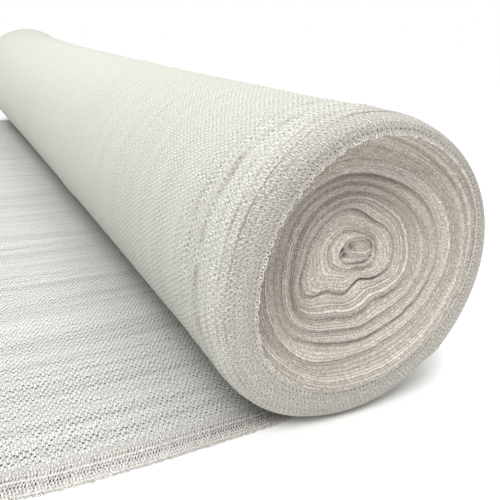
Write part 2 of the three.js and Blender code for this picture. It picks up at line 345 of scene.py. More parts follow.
def knitted_cloth(name, knit):
    """Knitted polyethylene yarn. Its smooth round threads throw a broad soft gloss and a faint sheen at low
    angles. The small lit stitches, the greyer yarn between them and the dark gaps are painted highlight and
    painted shade in its colour."""
    material = bpy.data.materials.new(name)
    material.use_nodes = True
    tree = material.node_tree
    shader = tree.nodes["Principled BSDF"]
    flat, pulled = pulled_cloth(tree, PULLS, knit["unevenness"], knit["unevenness"])
    place = add_node(tree, "ShaderNodeSeparateXYZ", pulled)

    # Streaks run along the cloth, where the wales stand closer or further apart. A single yarn is too
    # fine to show, so threads and gaps are drawn softer and broader than yarn, at the knit's true spacing.
    stretched = add_node(tree, "ShaderNodeMapping", flat, named={"Scale": STREAKS})
    streaky = {"Vector": stretched, "Scale": 1.0, "Detail": 4.0, "Roughness": 0.6}
    streak = add_node(tree, NOISE, named=streaky)
    open_here = add_node(tree, MAP, streak, *STREAK_OPENS, **SOFTLY)
    lit, shade = threads_and_gaps(tree, place, open_here, knit)

    # The plain knit ends at the selvedge, whose creases and colours wander along it.
    off_middle = add_node(tree, MATHS, place.outputs[1], operation="ABSOLUTE")
    from_edge = add_node(tree, MATHS, CLOTH_WIDTH / 2 * MM, off_middle, operation="SUBTRACT")
    last_row = knit["edge_gaps"][-1][0]
    inner = add_node(tree, MAP, from_edge, last_row * MM, (last_row + KNIT_BEGINS_OVER) * MM, **SOFTLY)
    shade = add_node(tree, MATHS, shade, inner, operation="MULTIPLY")
    wander = add_node(tree, NOISE, named={"Vector": flat, "Scale": WANDERS, "Detail": 4.0})
    wandering = add_node(tree, MATHS, wander, -2 * EDGE_WANDER * MM, from_edge, operation="MULTIPLY_ADD")
    begins, full = ((reach - EDGE_WANDER) * MM for reach in knit["edge_colours"])
    near_edge = add_node(tree, MAP, wandering, begins, full, **SOFTLY)
    kept = add_node(tree, MATHS, near_edge, -EDGE_GAPS_LOSE, 1.0, operation="MULTIPLY_ADD")
    shade = add_node(tree, MATHS, shade, kept, operation="MULTIPLY")
    wave = add_node(tree, NOISE, named={"Vector": flat, "Scale": EDGE_WAVES, "Detail": 2.0})
    waved_edge = add_node(tree, MATHS, wave, 2 * EDGE_WAVE * MM, from_edge, operation="MULTIPLY_ADD")
    lit, shade = selvedge_rows(tree, place, from_edge, waved_edge, lit, shade, knit)

    # Loose fibres break up the light.
    grain = add_node(tree, NOISE, named={"Vector": pulled, "Scale": FIBRES, "Detail": 2.0})
    tone = add_node(tree, MATHS, grain, *FIBRE_TONE, operation="MULTIPLY_ADD")
    tone = add_node(tree, MATHS, lit, THREAD_TONE, tone, operation="MULTIPLY_ADD")
    streaked = STREAK_TONE * knit["streaks"]
    tone = add_node(tree, MATHS, streak, -streaked, tone, operation="MULTIPLY_ADD")
    tone = add_node(tree, MATHS, tone, streaked / 2, use_clamp=True)
    # Towards the edge the yarn takes the edge colours. On the roll these are painted warm shade of the
    # curled lip.
    ends = {FIRST_COLOUR: linear(knit["ground"]), SECOND_COLOUR: linear(knit["edge_ground"])}
    below = add_node(tree, MIX, near_edge, named=ends, data_type="RGBA").outputs[MIXED_COLOUR]
    ends = {FIRST_COLOUR: linear(knit["thread"]), SECOND_COLOUR: linear(knit["edge_thread"])}
    above = add_node(tree, MIX, near_edge, named=ends, data_type="RGBA").outputs[MIXED_COLOUR]
    ends = {FIRST_COLOUR: below, SECOND_COLOUR: above}
    colour = add_node(tree, MIX, tone, named=ends, data_type="RGBA").outputs[MIXED_COLOUR]
    # The gaps get painted shade in their colour.
    ends = {FIRST_COLOUR: colour, SECOND_COLOUR: linear(knit["gap_shade_colour"])}
    colour = add_node(tree, MIX, shade, named=ends, data_type="RGBA").outputs[MIXED_COLOUR]
    height = add_node(tree, MATHS, shade, -1.0, tone, operation="MULTIPLY_ADD")

    # Creases along the selvedge fade in and out. Each is painted shade over a shallow dip in the bump.
    fading = add_node(tree, NOISE, named={"Vector": pulled, "Scale": FADES, "Detail": 3.0})
    for line, half_width, darkness in knit["edge_creases"]:
        off = add_node(tree, MATHS, wandering, (line - EDGE_WANDER) * MM, operation="SUBTRACT")
        off = add_node(tree, MATHS, off, operation="ABSOLUTE")
        crease_shade = add_node(tree, MAP, off, half_width * MM, 0.0, **SOFTLY)
        fade = add_node(tree, MAP, fading, *CREASE_FADES, darkness * CREASE_FAINT, darkness)
        crease_shade = add_node(tree, MATHS, crease_shade, fade, operation="MULTIPLY")
        ends = {FIRST_COLOUR: colour, SECOND_COLOUR: linear(knit["crease_shade"])}
        colour = add_node(tree, MIX, crease_shade, named=ends, data_type="RGBA").outputs[MIXED_COLOUR]
        height = add_node(tree, MATHS, crease_shade, -CREASE_DEPTH, height, operation="MULTIPLY_ADD")
    tree.links.new(colour, shader.inputs["Base Color"])
    relief = {"Height": height, "Distance": knit["relief"] * MM, "Strength": 1.0}
    bump = add_node(tree, "ShaderNodeBump", named=relief)
    tree.links.new(bump.outputs[0], shader.inputs["Normal"])
    shader.inputs["Roughness"].default_value = 0.6
    shader.inputs["IOR"].default_value = 1.5
    shader.inputs["Sheen Weight"].default_value = 0.12
    return material


loose_x = np.concatenate([np.linspace(*LOOSE_ROWS), np.linspace(*TAKE_UP_ROWS)])
loose_share = np.linspace(0, 1, LOOSE_COLUMNS)
x, share = np.meshgrid(loose_x, loose_share, indexing="ij")
inset = np.interp(x, BOW_PLACES, BOW_INSETS)
y = -CLOTH_WIDTH / 2 + inset + share * (CLOTH_WIDTH - inset)
z = np.full_like(x, LIES_AT)
for ripple_y, half, height, begins, ends in RIPPLES:
    across = (y - ripple_y - RIPPLE_SLANT * (x - LOOSE_CUT_X)) / half
    along = (2 * x - begins - ends) / (ends - begins)
    z = np.maximum(z, LIES_AT + height * hump(across) * hump(along))
freedom = np.clip((WAVES_END_X - x) / WAVES_FADE_OVER, 0, 1)
small_waves = waves((x / WAVE_STRETCH, y), **SMALL_WAVES)
z += freedom * np.maximum(0, WAVE_HEIGHT + WAVE_HEIGHT * small_waves)
flat_y = (share - 0.5) * CLOTH_WIDTH
loose_points = np.stack([x, y, z], -1)
loose_end = sheet_mesh("loose_end_cloth", loose_points, np.stack([x, flat_y], -1))
loose_end.data.materials.append(knitted_cloth("knit over the ground", LAID))
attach(loose_end, "root")
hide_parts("loose_end")

# Outermost turn
# The same cloth goes on round the roll. The winding draws it in over both shoulders, so each selvedge
# curls round and stands free as a lip, and soft ridges show where the turns below it end.
GIRTH_PLACES = (-880, -812, -740, -520, -260, 0, 260, 480, 680, 800, 850, 885, 905)
GIRTH_SHARES = (1.0, 0.999, 0.998, 0.996, 0.998, 1.004, 1.012, 1.024, 1.042, 1.058, 1.072, 1.086, 1.09)
GIRTH_SOFTENING = (-30, -15, 0, 15, 30)
# Slow unevenness of the girth: share of the radius, times round, radians a millimetre along, and start.
GIRTH_WAVES = ((0.004, 3, 0.0053, 0.0), (0.003, 5, -0.0077, 1.0))
# Each end: the way it faces, where its shoulder starts, how far it reaches past that, its girth as a share
# of the near one's, and how much its turns are squeezed.
NEAR_END = {"side": -1, "start": 909, "reach": 27, "girth": 1.0, "squeeze": 1.0}
FAR_END = {"side": 1, "start": 904, "reach": 26, "girth": 1.09, "squeeze": 0.45}

# The turn, in degrees round the roll: where it leaves the ground, where it ends, and where it begins to
# sink by one turn's thickness, to pass under its own beginning.
ROLL_REST_ANGLE = -78.0
TURN_ENDS = 312
TURN_SINKS = 225
TURN_SINKS_OVER = 45
TURN_ANGLE_STEP = 1.6
TURN_STEP = 2.4
# The lip's curl: how far round it goes, its ridges by place round it, half width and height, over how much
# of the turn it forms, where it begins along the roll, and where its two edges lie before that.
LAST_CURL = 96.0
CURL_RIDGES = ((26, 12, -0.9), (62, 34, 1.2))
CURL_FORMS_OVER = 34
CURL_BEGINS_Y = 840
UNCURLED_Y = (-907, 915)
NEAR_CURL_ROWS = 18
FAR_CURL_ROWS = 14
# Rows of points along the body: close together over the near ridges, then further apart.
RIDGE_ROWS = (-906, -800, 3.0)
BODY_ROWS = (-800, 900, 200)
# Cloth stays true to its flat size so far in from each edge, and is stretched between.
EDGE_TRUE = 120

# Creases between the main turns at the roll's ends, from the heart outwards to the lip and just past it.
# Each is given by its distance from the heart in directions 15 degrees apart: on its first line from the
# left round under the heart, on its second line from the right round over it.
HEART_X, HEART_Z = 0.0, 18.0
DIRECTIONS = np.arange(-180, 181, 15)
LIP = (
    104, 109, 116, 118, 117, 116, 115, 114, 113, 112, 112, 113,
    113, 113, 112, 110, 108, 107, 106, 105, 102, 100, 100, 101,
)
CREASES = (
    (6, 6, 6.5, 7, 8.5, 10, 12, 14, 16, 20, 25, 27,
     25, 22, 19, 16, 14, 12, 11, 10, 9, 8, 7, 6.5),
    (28, 27, 30, 32, 27, 26, 26, 23, 22, 28, 34, 34,
     31, 29, 26, 23, 22, 22, 23, 24, 24, 24, 25, 27),
    (38, 41, 53, 57, 40, 40, 42, 35, 33, 44, 51, 50,
     47, 44, 39, 34, 34.5, 35.5, 35.5, 36, 35, 35, 35, 36),
    (45, 50, 60, 63, 53, 48, 49.5, 48, 44, 50, 57, 57,
     54, 52, 49.5, 46, 45, 44.5, 43, 42, 42, 42.5, 43, 43),
    (51, 55, 62, 70.5, 69, 62, 63, 64, 59, 66, 71, 70,
     67, 63, 60, 56, 53, 51.5, 51, 50, 50, 50, 49, 49.5),
    (60, 66, 73, 81, 78, 73.5, 73, 75, 75, 78, 80, 80,
     78, 72, 67, 63, 60.5, 59.5, 59, 58.5, 59, 60, 60.5, 60),
    (68, 73, 80, 89, 86, 83, 84, 85, 85, 87, 89, 88.5,
     87, 83, 79, 74, 69.5, 67, 65.5, 65, 65.5, 66.5, 67, 67),
    (78, 84, 92, 98, 102, 98, 96, 95, 95.5, 96, 97, 97.5,
     98, 95, 91, 87, 83, 80, 79, 77, 76, 76, 76, 77),
    (99, 103, 110, 112, 112, 112, 111, 111, 110, 109, 108, 108,
     107, 106, 104, 102.5, 101, 101, 101, 100, 97, 95, 95, 96),
    LIP,
    tuple(out + 7 for out in LIP),
)
# How deep each crease is in the same directions. The lip and what lies behind it have none.
CREASE_DEPTHS = (
    (4, 5, 5, 5, 4, 4, 4, 4, 3, 3, 3, 3, 2, 1, 0, 0, 0, 0, 0, 0, 1, 1, 2, 3),
    (3, 4, 4, 3, 2, 2, 3, 3, 3, 3, 2, 1, 2, 3, 3, 2, 2, 3, 3, 3, 3, 3, 3, 3),
    (5, 6, 8, 6, 8, 7, 7, 8, 8, 8, 6, 3, 1, 2, 5, 8, 8, 7, 5, 4, 3, 3, 4, 5),
    (4, 4, 4, 3, 2, 3, 3, 2, 2, 1, 1, 0, 0, 1, 3, 4, 4, 4, 4, 4, 3, 3, 4, 4),
    (5, 5, 6, 7, 7, 8, 8, 8, 8, 8, 6, 4, 1, 1, 3, 4, 4, 5, 4, 4, 4, 4, 5, 5),
    (4, 4, 4, 3, 4, 6, 6, 6, 6, 5, 4, 2, 0, 1, 3, 4, 4, 4, 4, 3, 4, 4, 5, 4),
    (3, 3, 3, 3, 6, 8, 8, 8, 7, 7, 6, 4, 2, 4, 6, 7, 7, 7, 6, 5, 3, 2, 2, 2),
    (4, 4, 3, 4, 6, 7, 7, 6, 6, 5, 4, 3, 1, 1, 1, 1, 2, 2, 2, 2, 3, 3, 3, 4),
    (4, 3, 3, 3, 3, 3, 4, 4, 3, 2, 2, 1, 2, 4, 5, 6, 6, 6, 6, 4, 4, 4, 4, 4),
    (0,) * 24,
    (0,) * 24,
)
LIP_TURN = 9
CREASE_SCALE = 0.50
CREASE_SHARPNESS = 1.5
# Depth of the dish behind the lip, by distance from the heart for a lip at its mean distance: where the
# dish is open, and where it runs back under the lip, on the upper left.
LIP_MEAN = 114
DISH_PLACES = (0, 20, 50, 75, 90, 100, 108, 114, 121)
DISH_OPEN = (35, 35, 31, 24, 17, 11, 5, 0.8, 6)
DISH_UNDER = (36, 38, 39, 38, 37, 36, 31, 1.0, 6)
UNDER_TOWARDS = 138
UNDER_LEVEL = 0.35
UNDER_FADES_OVER = 1.1

# Ridges round the body near the near end: place, half width and height. They wander by so much.
RIDGE_WANDERS = (3.5, 2.0)
BODY_RIDGES = (
    (-906, 7, 2.2),
    (-897, 4, -1.4),
    (-886, 6, 2.6),
    (-874, 6, -1.2),
    (-860, 8, 1.4),
    (-834, 14, 1.0),
    (-262, 14, 1.4),
)

# The cloth as it lies over other turns, which close its gaps and warm the painted shade in them. Its edge
# colours are painted warm shade where the lip curls over, and its creases along the selvedge are painted
# shade.
WOUND = {
    "ground": "#a6a598",
    "thread": "#e7e7df",
    "gap_shade_colour": "#6c675c",
    "edge_ground": "#8c857c",
    "edge_thread": "#ded9d0",
    "crease_shade": "#877d73",
    "unevenness": 1.2,
    "gap_shade": 0.60,
    "streaks": 0.45,
    "relief": 0.6,
    "edge_gaps": (
        (4.0, 0.8, 0.75, 5.4, 0.2, 1.5),
        (8.4, 1.6, 0.6, 3.6, 0.0, 0.6),
    ),
    "edge_lines": (1.2,),
    "edge_creases": (
        (22.0, 1.6, 0.40),
        (29.5, 1.2, 1.0),
        (39.0, 2.4, 0.50),
        (51.0, 3.0, 0.42),
        (70.0, 6.0, 0.50),
        (97.0, 7.0, 0.25),
    ),
    "edge_colours": (48.0, 16.0),
}


def eased(share):
    """A share from 0 to 1 that starts and ends gently."""
    return share * share * (3 - 2 * share)


def body_point(angle, y, sink):
    """Places on the outside of the roll, less a depth."""
    share = np.mean([np.interp(y + off, GIRTH_PLACES, GIRTH_SHARES) for off in GIRTH_SOFTENING], axis=0)
    uneven = 0.0
    for most, times, pace, start in GIRTH_WAVES:
        uneven = uneven + most * np.sin(times * angle + pace * y + start)
    radius = ROLL_RADIUS * share * (1 + uneven) - sink
    for ridge_y, half, height in BODY_RIDGES:
        wander = RIDGE_WANDERS[0] * np.sin(angle + ridge_y)
        wander = wander + RIDGE_WANDERS[1] * np.sin(2 * angle + 0.4 * ridge_y)
        radius = radius + height * hump((y - ridge_y - wander) / half)
    axis_z = ROLL_RADIUS * share - ROLL_SETTLING
    return radius * np.cos(angle), axis_z + radius * np.sin(angle)


def round_heart(values, angle):
    """Values given for the directions round the heart, at other angles and softened between them."""
    closed = (*values, values[0])
    degrees = np.degrees(angle)
    softening = (-6, -3, 0, 3, 6)
    turned = [np.interp((degrees + off + 180) % 360 - 180, DIRECTIONS, closed) for off in softening]
    return np.mean(turned, axis=0)


def crease_point(end, angle, turn):
    """Places in an end by direction and main turn: x, z, depth behind the lip, and depth of the crease."""
    radii = np.stack([round_heart(row, angle) for row in CREASES])
    depths = np.stack([round_heart(row, angle) for row in CREASE_DEPTHS])
    even = np.array([np.mean(row) for row in CREASES]).reshape(-1, *[1] * angle.ndim)
    radii = even + (radii - even) * end["squeeze"]
    lower = np.clip(np.floor(turn).astype(int), 0, len(CREASES) - 2)
    part = turn - lower
    inner_radius, outer_radius = (np.take_along_axis(radii, (lower + step)[None], 0)[0] for step in (0, 1))
    inner_depth, outer_depth = (np.take_along_axis(depths, (lower + step)[None], 0)[0] for step in (0, 1))
    radius = inner_radius + (outer_radius - inner_radius) * part
    nearness = 0.5 + 0.5 * np.cos(2 * math.pi * np.clip(part, 0, 1))
    valley = (inner_depth + (outer_depth - inner_depth) * part) * nearness**CREASE_SHARPNESS
    scaled = radius * LIP_MEAN / radii[LIP_TURN]
    towards = np.cos(angle - math.radians(UNDER_TOWARDS))
    under = np.clip((towards + UNDER_LEVEL) / UNDER_FADES_OVER, 0, 1)
    dish = np.interp(scaled, DISH_PLACES, DISH_OPEN) * (1 - under)
    dish = dish + np.interp(scaled, DISH_PLACES, DISH_UNDER) * under
    girth = end["girth"]
    x = (HEART_X + radius * np.cos(angle)) * girth
    z = ROLL_RADIUS * girth - ROLL_SETTLING + (HEART_Z + radius * np.sin(angle)) * girth
    return x, z, dish, valley * CREASE_SCALE


def shoulder_rows(end, angle, sink, count):
    """Points from the lip's free edge round its curl and back to the body."""
    curls = np.radians(np.linspace(LAST_CURL, 0, count))[None, :]
    angle = angle[:, None]
    last = math.cos(math.radians(LAST_CURL))
    outwards = (np.cos(curls) - last) / (1 - last)
    lip_x, lip_z, _, _ = crease_point(end, angle, np.full_like(angle, LIP_TURN))
    start_x, start_z = body_point(angle, end["side"] * end["start"], 0.0)
    ridges = sum(height * hump((np.degrees(curls) - place) / half) for place, half, height in CURL_RIDGES)
    lift = ridges - sink[:, None]
    x = lip_x + (start_x - lip_x) * outwards + lift * np.cos(curls) * np.cos(angle)
    z = lip_z + (start_z - lip_z) * outwards + lift * np.cos(curls) * np.sin(angle)
    y = end["side"] * (end["start"] + (end["reach"] + lift) * np.sin(curls)) + 0 * angle
    return np.stack([x, y, z], -1)


turn_angles = np.radians(np.arange(ROLL_REST_ANGLE, TURN_ENDS, TURN_ANGLE_STEP))
turn_degrees = np.degrees(turn_angles)
sink = TURN_STEP * eased(np.clip((turn_degrees - TURN_SINKS) / TURN_SINKS_OVER, 0, 1))
near_rows = shoulder_rows(NEAR_END, turn_angles, sink, NEAR_CURL_ROWS)
far_rows = shoulder_rows(FAR_END, turn_angles, sink, FAR_CURL_ROWS)[:, ::-1]
body_y = np.concatenate([np.arange(*RIDGE_ROWS), np.linspace(*BODY_ROWS)])
angle, y = np.meshgrid(turn_angles, body_y, indexing="ij")
x, z = body_point(angle, y, sink[:, None])
grid = np.concatenate([near_rows, np.stack([x, y, z], -1), far_rows], axis=1)
steps = np.linalg.norm(np.diff(grid, axis=1), axis=2)
across = np.concatenate([np.zeros((len(grid), 1)), np.cumsum(steps, axis=1)], axis=1)
across -= across[:, [NEAR_CURL_ROWS]] + NEAR_END["start"]

# Where the cloth leaves the ground the curl isn't there yet: it forms over the first part of the turn.
curled = eased(np.clip((turn_degrees - ROLL_REST_ANGLE) / CURL_FORMS_OVER, 0, 1))[:, None]
curled_y = (across.min(), -CURL_BEGINS_Y, CURL_BEGINS_Y, across.max())
uncurled_y = (UNCURLED_Y[0], -CURL_BEGINS_Y, CURL_BEGINS_Y, UNCURLED_Y[1])
flat_y = np.interp(across, curled_y, uncurled_y)
x, z = body_point(turn_angles[:, None], flat_y, sink[:, None])
flat_grid = np.stack([x, flat_y, z], -1)
grid = flat_grid + (grid - flat_grid) * curled[..., None]
ground = np.where(turn_degrees > 180, LIES_AT + TURN_STEP, LIES_AT)[:, None]
grid[..., 2] = np.maximum(grid[..., 2], ground)
along = ROLL_RADIUS * (turn_angles - turn_angles[0])[:, None] + TAKEN_UP_X + 0 * across
edge = CLOTH_WIDTH / 2
flat_across = np.array([
    np.interp(
        row,
        (row[0], row[0] + EDGE_TRUE, row[-1] - EDGE_TRUE, row[-1]),
        (-edge, EDGE_TRUE - edge, edge - EDGE_TRUE, edge),
    )
    for row in across
])
outer_turn = sheet_mesh("outermost_turn", grid, np.stack([along, flat_across], -1))
outer_turn.data.materials.append(knitted_cloth("knit over other turns", WOUND))
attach(outer_turn, "root")
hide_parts("wound_roll")

# Turns below, seen from the ends
# Some fifty turns of the same cloth, whose selvedges lie back in a shallow dish inside the lip. Each turn's
# edge is a row of small knots, and groups of them stand out as main turns, squeezed by handling.
TURNS_BY_CREASE = (0, 6, 11, 16, 21, 26, 32, 37, 43, 46, 50)
TURN_PITCH = 2.3
TURN_HEIGHT = 0.9
TURN_ROUNDNESS = 0.7
TURN_WAVES = {"seed": 11, "count": 14, "longest": 30, "shortest": 5}
TURN_WAVE_HEIGHT = 0.6
DEEPEST_CREASE = 7.0
# The first fold is rolled up like a snail: its ridge runs over the top of the heart, between two directions
# in degrees, with hollows and a swell inside it.
FOLD_MIDDLE = (8.0, -2.0)
FOLD_SIZES = (18.0, 15.0)
FOLD_HEIGHT = 5.5
FOLD_HALF_WIDTH = 0.24
FOLD_BEGINS, FOLD_ENDS = 5.0, 225.0
FOLD_BLUNTNESS = 0.3
# Hollows and swells: place right of the heart and above it, half sizes and height.
SWELLS = (
    (-4.5, 0.0, 3.2, 3.4, -15.0),
    (-0.5, -6.0, 3.2, 5.5, -9.0),
    (5.5, 4.0, 3.0, 5.0, -3.5),
    (26.0, -9.0, 2.2, 2.2, -5.0),
    (6.0, 3.0, 9.0, 7.0, -3.5),
    (16.0, -5.5, 10.0, 6.5, 3.0),
)
# Knots along a turn's edge and rows of them across it, a little coarser than real ones, so that they
# show. Each row starts at its own place, up to some knots along.
KNOT_PITCH = 1.9
KNOT_ROWS = 2.3
ROW_SHIFT = 7.0
KNOT_RISE = (0.04, 0.34)
ROW_RISE = (0.05, 0.42)
KNOT_LIGHT = (0.55, 0.22)
TURN_LIGHT = 0.45
EDGE_LEVEL = -0.62
EDGE_PULLS = 260.0
EDGE_DRIFT = (3.6, 2.4)
EDGE_FIBRES = 620.0
EDGE_FIBRE_TONE = 1.3
# Which depths of crease get painted shade, as shares of the deepest, and how much.
SHADED_CREASES = (0.15, 0.95, 0.0, 0.65)


def heart_form(x, z, end):
    """How far the first fold stands out round the heart, for places in an end of the roll."""
    right = x / end["girth"] - HEART_X
    up = (z + ROLL_SETTLING) / end["girth"] - ROLL_RADIUS - HEART_Z
    from_middle = (right - FOLD_MIDDLE[0]) / FOLD_SIZES[0], (up - FOLD_MIDDLE[1]) / FOLD_SIZES[1]
    direction = (np.degrees(np.arctan2(from_middle[1], from_middle[0])) + 90) % 360 - 90
    along = (2 * direction - FOLD_BEGINS - FOLD_ENDS) / (FOLD_ENDS - FOLD_BEGINS)
    ridge = hump((np.hypot(*from_middle) - 1) / FOLD_HALF_WIDTH)
    raised = FOLD_HEIGHT * ridge * hump(along) ** FOLD_BLUNTNESS
    for swell_x, swell_z, half_x, half_z, height in SWELLS:
        raised = raised + height * hump(np.hypot((right - swell_x) / half_x, (up - swell_z) / half_z))
    return raised


def mark_creases(piece, valley):
    """Marks how deep in a crease each point of a piece lies, for its finish to paint shade in the deep
    creases.
    """
    marks = piece.data.attributes.new("crease_shade", "FLOAT", "POINT")
    marks.data.foreach_set("value", np.clip(valley / DEEPEST_CREASE, 0, 1).ravel())


def wound_turns(name, end, across_count, angle_count):
    """One ribbon that spirals out from the heart to under the lip and carries the edges of all turns."""
    count = TURNS_BY_CREASE[-1]
    total = np.arange(count * angle_count + 1) / angle_count
    part = np.linspace(0, 1, across_count + 1)
    turn, part = np.meshgrid(total, part, indexing="ij")
    main = np.interp(turn + part - 1, TURNS_BY_CREASE, range(len(TURNS_BY_CREASE)))
    angle = 2 * math.pi * turn
    x, z, dish, valley = crease_point(end, angle, main)
    raised = TURN_HEIGHT * np.sin(math.pi * part) ** TURN_ROUNDNESS - valley
    raised = raised + TURN_WAVE_HEIGHT * waves((x / 2, z / 2), **TURN_WAVES) + heart_form(x, z, end)
    y = end["side"] * (end["start"] + end["reach"] - dish + raised)
    run = np.cumsum(np.hypot(np.diff(x[:, 0], prepend=x[0, 0]), np.diff(z[:, 0], prepend=z[0, 0])))
    flat = np.stack([run[:, None] + 0 * part, (turn + part) * TURN_PITCH], -1)
    ribbon = sheet_mesh(name, np.stack([x, y, z], -1), flat)
    mark_creases(ribbon, valley)
    return ribbon


def turn_edges(name, knot_colour, shade_colour, crease_shade_colour):
    """Polyethylene selvedges seen edge on. Their knots scatter the light, so the eye sees rows of matt pale
    beads. The warmer, dimmer light between the beads and turns is painted shade in the colour, and deep
    creases get painted shade too."""
    material = bpy.data.materials.new(name)
    material.use_nodes = True
    tree = material.node_tree
    shader = tree.nodes["Principled BSDF"]
    _, pulled = pulled_cloth(tree, EDGE_PULLS, *EDGE_DRIFT)
    place = add_node(tree, "ShaderNodeSeparateXYZ", pulled)

    # Each knot is a rounded bead with its own brightness, and painted shade lies between the beads.
    rows = add_node(tree, MATHS, place.outputs[1], 1 / (KNOT_ROWS * MM), operation="MULTIPLY")
    row_number = add_node(tree, MATHS, rows, operation="FLOOR")
    knots = add_node(tree, MATHS, place.outputs[0], 1 / (KNOT_PITCH * MM), operation="MULTIPLY")
    row_chance = add_node(tree, CHANCE, named={"W": row_number}, noise_dimensions="1D")
    knots = add_node(tree, MATHS, row_chance, ROW_SHIFT, knots, operation="MULTIPLY_ADD")
    knot_number = add_node(tree, MATHS, knots, operation="FLOOR")
    knot = add_node(tree, TOGETHER, row_number, knot_number)
    knot_chance = add_node(tree, CHANCE, knot, noise_dimensions="2D")
    from_row = add_node(tree, MATHS, rows, 0.5, operation="PINGPONG")
    on_row = add_node(tree, MAP, from_row, *ROW_RISE, **SOFTLY)
    from_knot = add_node(tree, MATHS, knots, 0.5, operation="PINGPONG")
    on_knot = add_node(tree, MAP, from_knot, *KNOT_RISE, **SOFTLY)
    bead = add_node(tree, MATHS, on_row, on_knot, operation="MULTIPLY")
    bright = add_node(tree, MATHS, knot_chance, *KNOT_LIGHT, operation="MULTIPLY_ADD")
    bright = add_node(tree, MATHS, bead, bright, operation="MULTIPLY")

    # Fibres break up the light, and some turns stand out more than others.
    grain = add_node(tree, NOISE, named={"Vector": pulled, "Scale": EDGE_FIBRES, "Detail": 2.0})
    bright = add_node(tree, MATHS, grain, EDGE_FIBRE_TONE, bright, operation="MULTIPLY_ADD")
    turn = add_node(tree, MATHS, place.outputs[1], 1 / (TURN_PITCH * MM), operation="MULTIPLY")
    turn_number = add_node(tree, MATHS, turn, operation="FLOOR")
    turn_chance = add_node(tree, CHANCE, named={"W": turn_number}, noise_dimensions="1D")
    bright = add_node(tree, MATHS, turn_chance, TURN_LIGHT, bright, operation="MULTIPLY_ADD")
    bright = add_node(tree, MATHS, bright, EDGE_LEVEL, use_clamp=True)
    ends = {FIRST_COLOUR: linear(shade_colour), SECOND_COLOUR: linear(knot_colour)}
    colour = add_node(tree, MIX, bright, named=ends, data_type="RGBA").outputs[MIXED_COLOUR]
    # Deep creases get painted shade.
    crease_shade = add_node(tree, "ShaderNodeAttribute", attribute_name="crease_shade").outputs["Fac"]
    crease_shade = add_node(tree, MAP, crease_shade, *SHADED_CREASES)
    ends = {FIRST_COLOUR: colour, SECOND_COLOUR: linear(crease_shade_colour)}
    colour = add_node(tree, MIX, crease_shade, named=ends, data_type="RGBA").outputs[MIXED_COLOUR]
    tree.links.new(colour, shader.inputs["Base Color"])
    bump = add_node(tree, "ShaderNodeBump", named={"Height": bright, "Distance": 0.9 * MM, "Strength": 1.0})
    tree.links.new(bump.outputs[0], shader.inputs["Normal"])
    shader.inputs["Roughness"].default_value = 0.62
    shader.inputs["IOR"].default_value = 1.5
    return material


edges_finish = turn_edges("selvedges seen edge on", "#f7f2e9", "#9f958b", "#84776c")
# Each end's ribbon, with its faces across a turn and round it. The far end is seen less closely.
ribbons = (("turns_near", NEAR_END, 5, 360), ("turns_far", FAR_END, 3, 240))
for name, end, across_count, angle_count in ribbons:
    turns = wound_turns(name, end, across_count, angle_count)
    turns.data.materials.append(edges_finish)
    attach(turns, "root")
    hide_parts("wound_roll")

# Heart
# The first fold of the cloth, doubled back on itself and rolled up tight into a small knob. It closes the
# middle of each end, where the turns begin.
KNOB_X, KNOB_Z = 9.0, 16.0
KNOB_HEIGHT = 3.0
KNOB_BLUNTNESS = 2.2
KNOB_WAVES = {"seed": 3, "count": 10, "longest": 24, "shortest": 7}
KNOB_WAVE_HEIGHT = 0.5
KNOB_RINGS, KNOB_POINTS = 32, 121
# Painted crease shade counts only towards the knob's rim.
KNOB_CREASE_FADE = 6
for name, end in (("heart_near", NEAR_END), ("heart_far", FAR_END)):
    reach_out = np.linspace(0, 1, KNOB_RINGS)
    round_knob = np.linspace(0, 2 * math.pi, KNOB_POINTS)
    out, angle = np.meshgrid(reach_out, round_knob, indexing="ij")
    rim_x, rim_z, dish, valley = crease_point(end, angle, np.zeros_like(angle))
    knob_x = KNOB_X * end["girth"]
    knob_z = (ROLL_RADIUS + KNOB_Z) * end["girth"] - ROLL_SETTLING
    x = knob_x + (rim_x - knob_x) * out
    z = knob_z + (rim_z - knob_z) * out
    raised = KNOB_HEIGHT * (1 - out**KNOB_BLUNTNESS) - valley
    raised = raised + KNOB_WAVE_HEIGHT * waves((x, z), **KNOB_WAVES) + heart_form(x, z, end)
    y = end["side"] * (end["start"] + end["reach"] - dish + raised)
    flat = np.stack([x, z], -1)
    heart = sheet_mesh(name, np.stack([x, y, z], -1), flat)
    mark_creases(heart, valley * out**KNOB_CREASE_FADE)
    heart.data.materials.append(edges_finish)
    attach(heart, "root")
    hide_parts("wound_roll")

# Selvedge loops
# Along both edges of the cloth the yarn turns back in small loops. They fringe the loose end and both lips,
# and each stands at its own slant and size.
LOOP_PITCH = 2.6
LOOP_WIDTH = 2.3
LOOP_REACH = 3.4
LOOP_SIZES = (0.6, 1.5)
LOOP_SWAYS = ((-0.25, -0.3, -0.4), (0.25, 0.3, 0.4))
YARN_WIDTH = 0.75
YARN_SIDES = 5
# A loop is this part of a ring of yarn, in degrees, with its open side towards the cloth.
RING_FROM, RING_ROUND = -35, 250
RING_POINTS = 9
# Patches per metre where the yarn is thinner, and from where to where in them it shows.
THIN_PATCHES = 400.0
THIN_SHOWS = (0.30, 0.62)
# Where the loops of a lip point: outwards along the roll, and in towards the lip's middle.
LIP_OUTWARDS = 0.6
LIP_MIDDLE_Z = 150
LIP_INWARDS = 1 / 140


